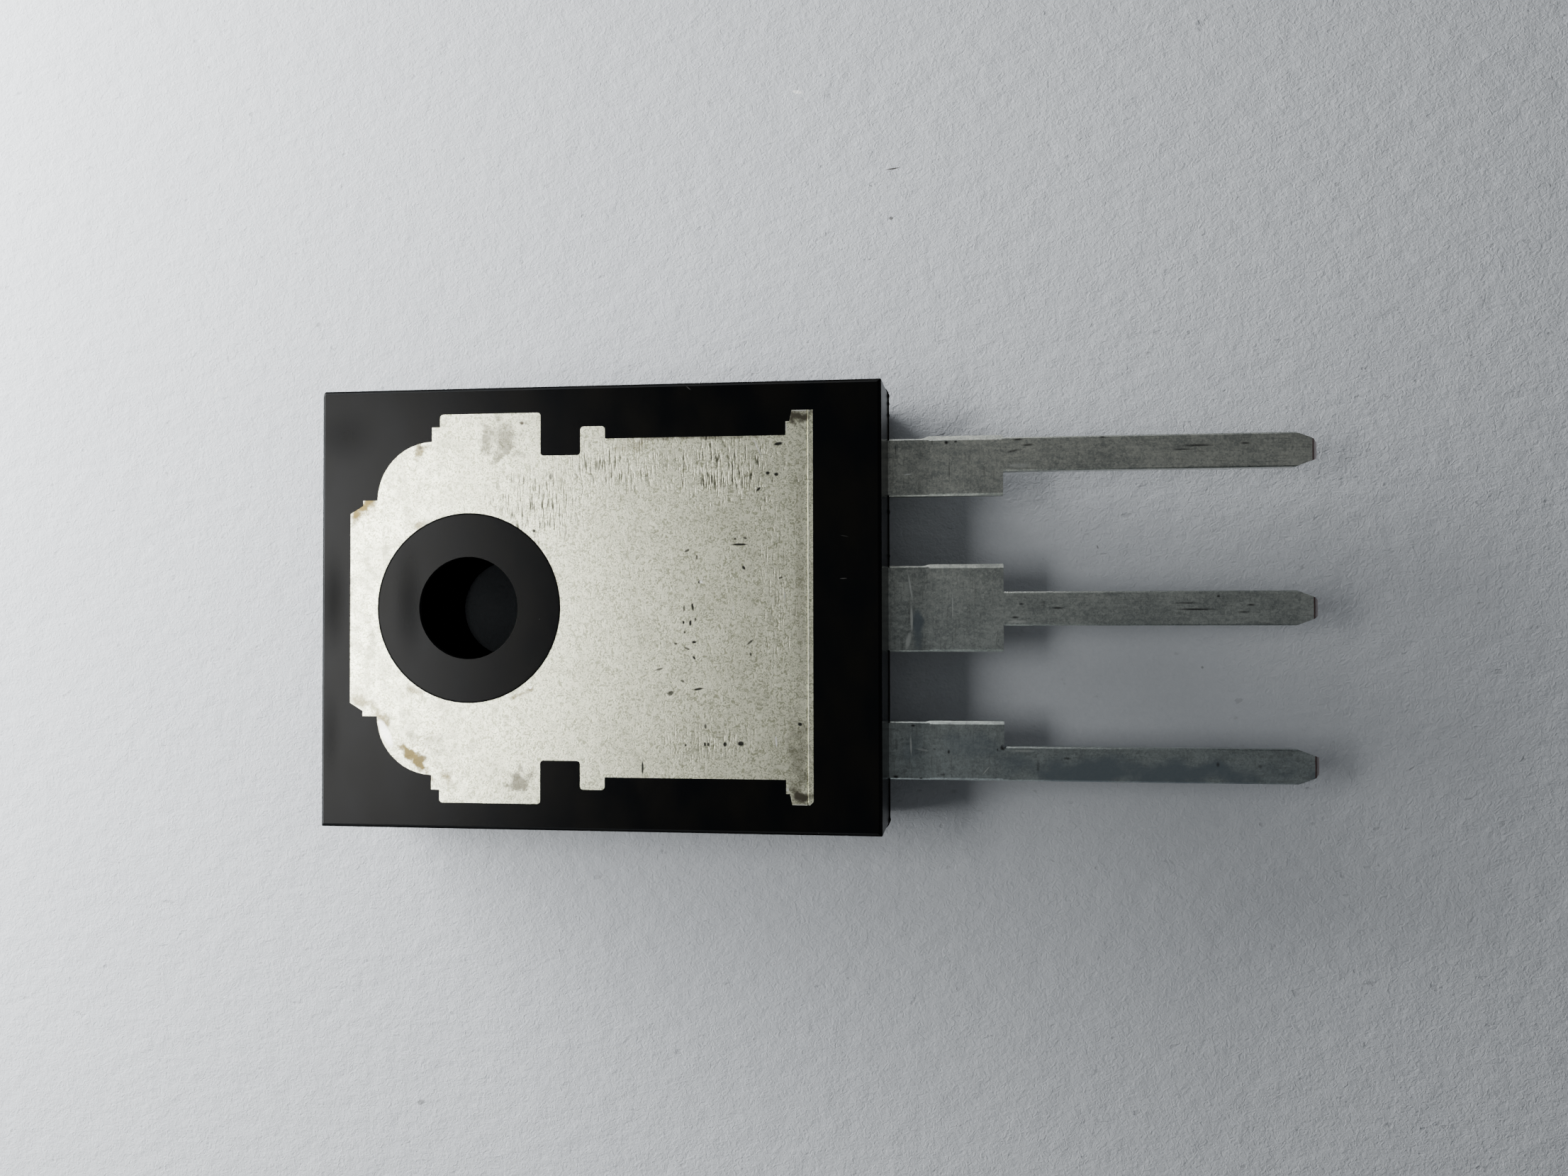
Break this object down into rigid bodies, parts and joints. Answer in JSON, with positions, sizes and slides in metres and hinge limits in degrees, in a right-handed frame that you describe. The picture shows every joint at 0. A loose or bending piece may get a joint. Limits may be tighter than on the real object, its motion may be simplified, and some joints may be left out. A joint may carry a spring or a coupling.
{
  "type": "rectifier diode",
  "caption": "Flat moulded power rectifier with an exposed heat-sink tab, a screw hole and three flat leads in a row.",
  "frame": {"origin": "centre of the mounting hole, in the plane of the heat-sink face", "axes": "+X along the leads towards their tips, +Y across the package, +Z out of the heat-sink face, which is on top as the part lies on its front face"},
  "size_m": [0.0351, 0.0158, 0.005],
  "materials": {
    "epoxy": "black moulded epoxy with a fine matt skin, greyish haze and broken edges",
    "tab_plating": "matt plated copper with a fine mottled grain, faint cross lines, scratches and yellow-brown stains",
    "lead_plating": "tinned copper, grey with lengthwise smudges and bright sheared edges",
    "solder": "soft solder, satin",
    "silicon": "metallised silicon, dark and smooth",
    "wire_aluminium": "drawn aluminium bond wire, satin"
  },
  "bodies": {
    "root": {"moulded_body": "epoxy", "heat_sink_tab": "tab_plating", "anode_lead_a": "lead_plating", "anode_lead_b": "lead_plating", "die_solder_a": "solder", "die_solder_b": "solder", "diode_die_a": "silicon", "diode_die_b": "silicon", "bond_wire_a1": "wire_aluminium", "bond_wire_a2": "wire_aluminium", "bond_wire_b1": "wire_aluminium", "bond_wire_b2": "wire_aluminium"}
  },
  "joints": []
}
